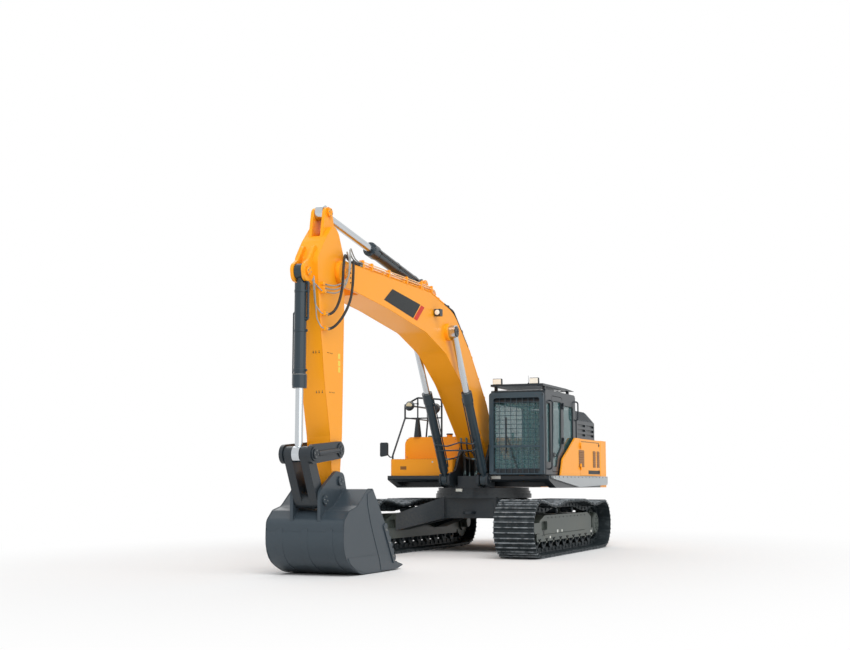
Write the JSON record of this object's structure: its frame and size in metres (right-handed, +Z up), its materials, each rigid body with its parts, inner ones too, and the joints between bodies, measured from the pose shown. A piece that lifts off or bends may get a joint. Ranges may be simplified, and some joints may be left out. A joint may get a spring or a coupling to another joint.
{
  "type": "crawler excavator",
  "caption": "Tracked digging machine with a slewing upper, guarded cab, knee boom, arm and bucket worked by cylinders.",
  "frame": {"origin": "on the ground, under the middle of the whole machine's box", "axes": "+X forward along the boom, +Y to the machine's left, +Z up"},
  "size_m": [11.0799, 3.54, 5.17],
  "materials": {
    "body_paint": "satin orange-yellow paint",
    "frame_paint": "satin black paint",
    "track_steel": "dark worn steel",
    "track_frame_paint": "grey-green paint",
    "cylinder_paint": "semi-gloss black paint",
    "rod_chrome": "hard chrome",
    "skirt_grey": "light grey paint",
    "bucket_steel": "dark slate paint, worn",
    "glazing": "green tinted safety glass",
    "interior_plastic": "grained dark plastic",
    "seat_fabric": "woven dark fabric",
    "lamp_lens": "clear lamp lens",
    "hose_rubber": "black hose"
  },
  "bodies": {
    "undercarriage": {"carbody": "frame_paint", "tow_eyes": "frame_paint", "track_frame_left": "track_frame_paint", "track_frame_right": "track_frame_paint", "track_left": "track_steel", "track_right": "track_steel", "idlers": "track_steel", "sprockets": "track_steel", "final_drives": "track_frame_paint", "bottom_rollers": "track_steel", "carrier_rollers": "track_steel", "slewing_ring": "frame_paint"},
    "upper": {"main_frame": "frame_paint", "counterweight": "body_paint", "lifting_eyes": "frame_paint", "engine_block": "frame_paint", "house_walls": "body_paint", "fuel_tank": "body_paint", "toolbox": "body_paint", "hydraulic_tank": "body_paint", "swing_motor": "frame_paint", "intake_housing": "frame_paint", "exhaust_stack": "frame_paint", "side_skirts": "skirt_grey", "handrails": "frame_paint", "mirrors": "frame_paint", "cab_shell": "frame_paint", "cab_glass": "glazing", "front_guard": "frame_paint", "roof_guard": "frame_paint", "work_lamps": "lamp_lens", "cab_seat_base": "interior_plastic", "seat_cushions": "seat_fabric", "cab_controls": "interior_plastic", "boom_hose_left": "hose_rubber", "boom_hose_right": "hose_rubber"},
    "engine_hood": {"engine_hood": "body_paint"},
    "side_door_left": {"side_door_left": "body_paint"},
    "side_door_right": {"side_door_right": "body_paint"},
    "cab_door": {"cab_door": "frame_paint", "cab_door_glass": "glazing"},
    "boom": {"boom": "body_paint", "boom_pipes": "body_paint", "boom_lamp": "frame_paint", "knee_hoses": "hose_rubber", "arm_hose_outer": "hose_rubber", "arm_hose_inner": "hose_rubber", "arm_line": "hose_rubber"},
    "boom_cylinder_barrels": {"boom_cylinder_barrels": "cylinder_paint"},
    "boom_cylinder_rods": {"boom_cylinder_rods": "rod_chrome"},
    "arm_cylinder_barrel": {"arm_cylinder_barrel": "cylinder_paint"},
    "arm_cylinder_rod": {"arm_cylinder_rod": "rod_chrome"},
    "arm": {"arm": "body_paint"},
    "bucket_cylinder_barrel": {"bucket_cylinder_barrel": "cylinder_paint"},
    "bucket_cylinder_rod": {"bucket_cylinder_rod": "rod_chrome"},
    "rocker_links": {"rocker_links": "frame_paint"},
    "bucket_link": {"bucket_link": "frame_paint"},
    "bucket": {"bucket": "bucket_steel"}
  },
  "joints": [
    {"name": "swing", "type": "hinge", "parent": "undercarriage", "child": "upper", "pos_m": [-2.04, 0, 1.11], "axis": [0, 0, 1], "continuous": true},
    {"name": "boom_lift", "type": "hinge", "parent": "upper", "child": "boom", "pos_m": [-1.79, 0, 1.85], "axis": [0, -1, 0], "range_deg": [-60, 42]},
    {"name": "arm_swing", "type": "hinge", "parent": "boom", "child": "arm", "pos_m": [4.52, 0, 4.22], "axis": [0, 1, 0], "range_deg": [-80, 34], "deforming": ["arm_hose_outer", "arm_hose_inner", "arm_line"]},
    {"name": "bucket_curl", "type": "hinge", "parent": "arm", "child": "bucket", "pos_m": [4.61, 0, 1.28], "axis": [0, 1, 0], "range_deg": [-75, 50]},
    {"name": "boom_barrel_tilt", "type": "hinge", "parent": "upper", "child": "boom_cylinder_barrels", "pos_m": [-1.04, 0, 1.32], "axis": [0, -1, 0], "range_deg": [-64.03, 44.88], "deforming": ["boom_hose_left", "boom_hose_right"]},
    {"name": "boom_rod_slide", "type": "slide", "parent": "boom_cylinder_barrels", "child": "boom_cylinder_rods", "axis": [0.5235, 0, 0.852], "range_m": [-0.8353, 0.5856]},
    {"name": "arm_barrel_tilt", "type": "hinge", "parent": "boom", "child": "arm_cylinder_barrel", "pos_m": [1.16, 0, 4.53], "axis": [0, 1, 0], "range_deg": [-0.54, 0.99]},
    {"name": "arm_rod_slide", "type": "slide", "parent": "arm_cylinder_barrel", "child": "arm_cylinder_rod", "axis": [0.9895, 0, 0.1449], "range_m": [-1.0844, 0.4626]},
    {"name": "bucket_barrel_tilt", "type": "hinge", "parent": "arm", "child": "bucket_cylinder_barrel", "pos_m": [5.4, 0, 4.13], "axis": [0, 1, 0], "range_deg": [-3.09, 4.54]},
    {"name": "bucket_rod_slide", "type": "slide", "parent": "bucket_cylinder_barrel", "child": "bucket_cylinder_rod", "axis": [0.004, 0, -1], "range_m": [-0.7092, 0.4738]},
    {"name": "rocker_turn", "type": "hinge", "parent": "arm", "child": "rocker_links", "pos_m": [4.61, 0, 1.71], "axis": [0, 1, 0], "range_deg": [-55.66, 37.17]},
    {"name": "link_turn", "type": "hinge", "parent": "bucket", "child": "bucket_link", "pos_m": [5.08, 0, 1.02], "axis": [0, 1, 0], "range_deg": [-36.7, 54.95]},
    {"name": "engine_hood_lift", "type": "hinge", "parent": "upper", "child": "engine_hood", "pos_m": [-3.56, 0, 2.115], "axis": [0, 1, 0], "range_deg": [0, 70]},
    {"name": "side_door_left_open", "type": "hinge", "parent": "upper", "child": "side_door_left", "pos_m": [-3.182, 1.572, 1.7], "axis": [0, 0, -1], "range_deg": [0, 110]},
    {"name": "side_door_right_open", "type": "hinge", "parent": "upper", "child": "side_door_right", "pos_m": [-3.56, -1.572, 1.7], "axis": [0, 0, 1], "range_deg": [0, 110]},
    {"name": "cab_door_open", "type": "hinge", "parent": "upper", "child": "cab_door", "pos_m": [-2.168, 1.522, 2.1], "axis": [0, 0, 1], "range_deg": [0, 155]}
  ],
  "couplings": [
    {"joint": "boom_barrel_tilt", "follows": "boom_lift", "ratio": 1.0639},
    {"joint": "boom_rod_slide", "follows": "boom_lift", "m_per_rad": 0.7948},
    {"joint": "arm_barrel_tilt", "follows": "arm_swing", "ratio": -0.0099},
    {"joint": "arm_rod_slide", "follows": "arm_swing", "m_per_rad": 0.7745},
    {"joint": "bucket_barrel_tilt", "follows": "bucket_curl", "ratio": -0.0578},
    {"joint": "bucket_rod_slide", "follows": "bucket_curl", "m_per_rad": 0.5395},
    {"joint": "rocker_turn", "follows": "bucket_curl", "ratio": 0.7395},
    {"joint": "link_turn", "follows": "bucket_curl", "ratio": -0.73}
  ]
}
